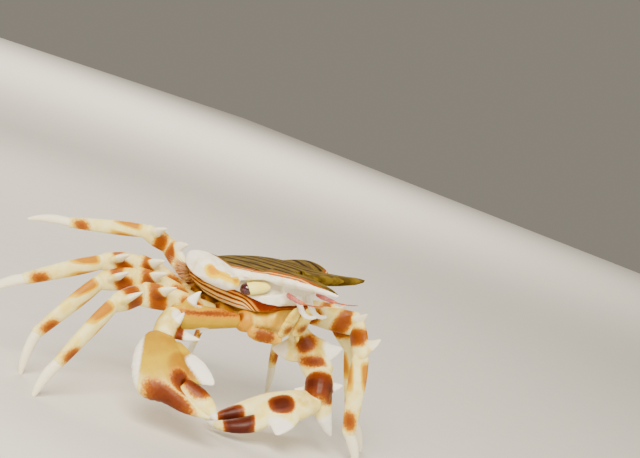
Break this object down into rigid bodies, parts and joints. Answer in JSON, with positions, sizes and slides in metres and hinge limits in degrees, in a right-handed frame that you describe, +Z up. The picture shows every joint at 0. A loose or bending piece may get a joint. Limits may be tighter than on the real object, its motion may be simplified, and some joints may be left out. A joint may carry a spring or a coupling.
{
  "type": "zebra urchin crab",
  "caption": "Life-size spiny striped urchin crab with a horned forehead, standing on slender banded legs with its claws hanging forward and down, for a marine life display",
  "frame": {"origin": "the middle of the part's bounding box, on the floor that its feet stand on", "axes": "the crab faces -Y, its own left side is +X and +Z is up"},
  "size_m": [0.0306, 0.0248, 0.0151],
  "materials": {
    "carapace_shell": "hard shell, brown with dark stripes and cream margins",
    "pale_shell": "hard shell, pale cream and ochre",
    "banded_shell": "hard shell, cream and orange with brown spots",
    "claw_shell": "hard shell, orange and cream with dark red patches",
    "eye_surface": "pale eyestalk with a dark glossy cornea",
    "feeler_shell": "thin pinkish shell"
  },
  "bodies": {
    "root": {"carapace": "carapace_shell", "underbody": "pale_shell", "abdomen": "pale_shell", "eye_right": "eye_surface", "antennule_right": "feeler_shell", "antenna_right": "feeler_shell", "maxilliped_right": "pale_shell", "cheliped_right_merus": "claw_shell", "cheliped_right_carpus": "claw_shell", "cheliped_right_palm": "claw_shell", "cheliped_right_finger": "claw_shell", "leg2_right_merus": "banded_shell", "leg2_right_carpus": "banded_shell", "leg2_right_propodus": "banded_shell", "leg2_right_dactyl": "banded_shell", "leg3_right_merus": "banded_shell", "leg3_right_carpus": "banded_shell", "leg3_right_propodus": "banded_shell", "leg3_right_dactyl": "banded_shell", "leg4_right_merus": "banded_shell", "leg4_right_carpus": "banded_shell", "leg4_right_propodus": "banded_shell", "leg4_right_dactyl": "banded_shell", "leg5_right_merus": "banded_shell", "leg5_right_carpus": "banded_shell", "leg5_right_propodus": "banded_shell", "leg5_right_dactyl": "banded_shell", "eye_left": "eye_surface", "antennule_left": "feeler_shell", "antenna_left": "feeler_shell", "maxilliped_left": "pale_shell", "cheliped_left_merus": "claw_shell", "cheliped_left_carpus": "claw_shell", "cheliped_left_palm": "claw_shell", "cheliped_left_finger": "claw_shell", "leg2_left_merus": "banded_shell", "leg2_left_carpus": "banded_shell", "leg2_left_propodus": "banded_shell", "leg2_left_dactyl": "banded_shell", "leg3_left_merus": "banded_shell", "leg3_left_carpus": "banded_shell", "leg3_left_propodus": "banded_shell", "leg3_left_dactyl": "banded_shell", "leg4_left_merus": "banded_shell", "leg4_left_carpus": "banded_shell", "leg4_left_propodus": "banded_shell", "leg4_left_dactyl": "banded_shell", "leg5_left_merus": "banded_shell", "leg5_left_carpus": "banded_shell", "leg5_left_propodus": "banded_shell", "leg5_left_dactyl": "banded_shell"}
  },
  "joints": []
}
